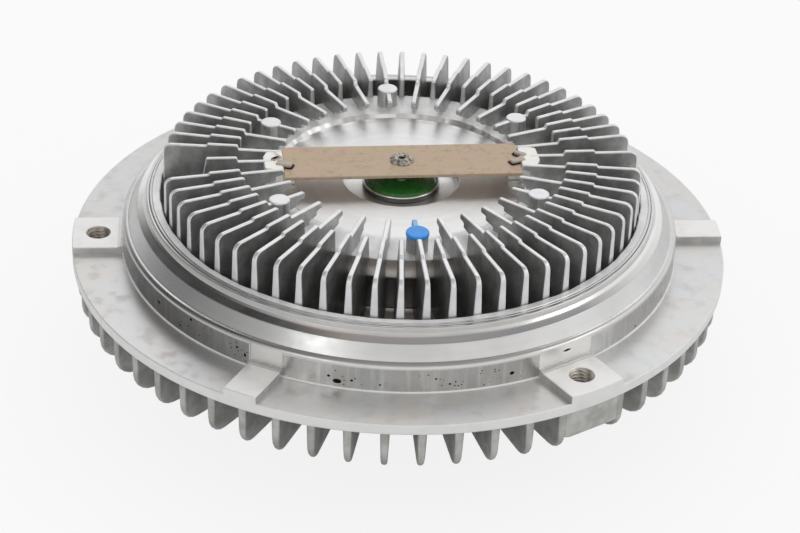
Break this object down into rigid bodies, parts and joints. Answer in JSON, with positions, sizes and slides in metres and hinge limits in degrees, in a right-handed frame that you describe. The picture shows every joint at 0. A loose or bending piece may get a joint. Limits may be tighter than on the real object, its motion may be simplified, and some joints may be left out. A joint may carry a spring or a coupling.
{
  "type": "viscous fan clutch",
  "caption": "Engine fan clutch: a flanged shaft in a finned two-piece aluminium casing, with threaded fan pads, a bimetal strip across the front and its valve pin.",
  "frame": {"origin": "centre of the hub flange's rear face, on the shaft's axis; the clutch stands on that face", "axes": "+Z along the shaft towards the bimetal strip; +X along the strip, within 1.8 degrees"},
  "size_m": [0.23, 0.23, 0.0815],
  "materials": {
    "housing_casting": "machined casting, satin bands and a cast grey underside",
    "cover_casting": "die casting, satin, worn bright along the fin edges",
    "bimetal": "brown oxidised satin",
    "bright_steel": "ground",
    "pressed_steel": "rolled, satin",
    "seal_case_steel": "bright plated",
    "green_rubber": "glossy, oily",
    "black_rubber": "matt",
    "rotor_casting": "turned casting",
    "forged_steel": "turned forging",
    "zinc_steel": "zinc plated"
  },
  "bodies": {
    "drive": {"drive_shaft": "forged_steel", "rotor": "rotor_casting", "rotor_washer": "zinc_steel", "rotor_screw": "zinc_steel", "bearing_inner_race": "bright_steel"},
    "fan_half": {"housing": "housing_casting", "cover": "cover_casting", "cover_seal": "black_rubber", "separator_plate": "pressed_steel", "lever_rivet": "pressed_steel", "pin_seal_case": "seal_case_steel", "pin_diaphragm": "green_rubber", "bimetal_strip": "bimetal", "bearing_outer_race": "bright_steel", "bearing_rear_seal": "black_rubber", "bearing_front_seal": "black_rubber", "bearing_snap_ring": "pressed_steel"},
    "roller_set": {"bearing_rollers": "bright_steel", "bearing_cage": "pressed_steel"},
    "actuator": {"actuating_pin": "bright_steel"},
    "valve": {"valve_lever": "pressed_steel"}
  },
  "joints": [
    {"name": "housing_spin", "type": "hinge", "parent": "drive", "child": "fan_half", "pos_m": [0, 0, 0.02605], "axis": [0, 0, 1], "continuous": true},
    {"name": "roller_orbit", "type": "hinge", "parent": "drive", "child": "roller_set", "pos_m": [0, 0, 0.02605], "axis": [0, 0, 1], "continuous": true},
    {"name": "pin_travel", "type": "slide", "parent": "fan_half", "child": "actuator", "axis": [0, 0, 1], "range_m": [0, 0.0015]},
    {"name": "lever_lift", "type": "hinge", "parent": "fan_half", "child": "valve", "pos_m": [-0.02999, -0.00094, 0.05445], "axis": [0.0314, -0.9995, 0], "range_deg": [0, 2.87]}
  ],
  "couplings": [
    {"joint": "roller_orbit", "follows": "housing_spin", "ratio": 0.57176},
    {"joint": "lever_lift", "follows": "pin_travel", "rad_per_m": 33.333}
  ]
}
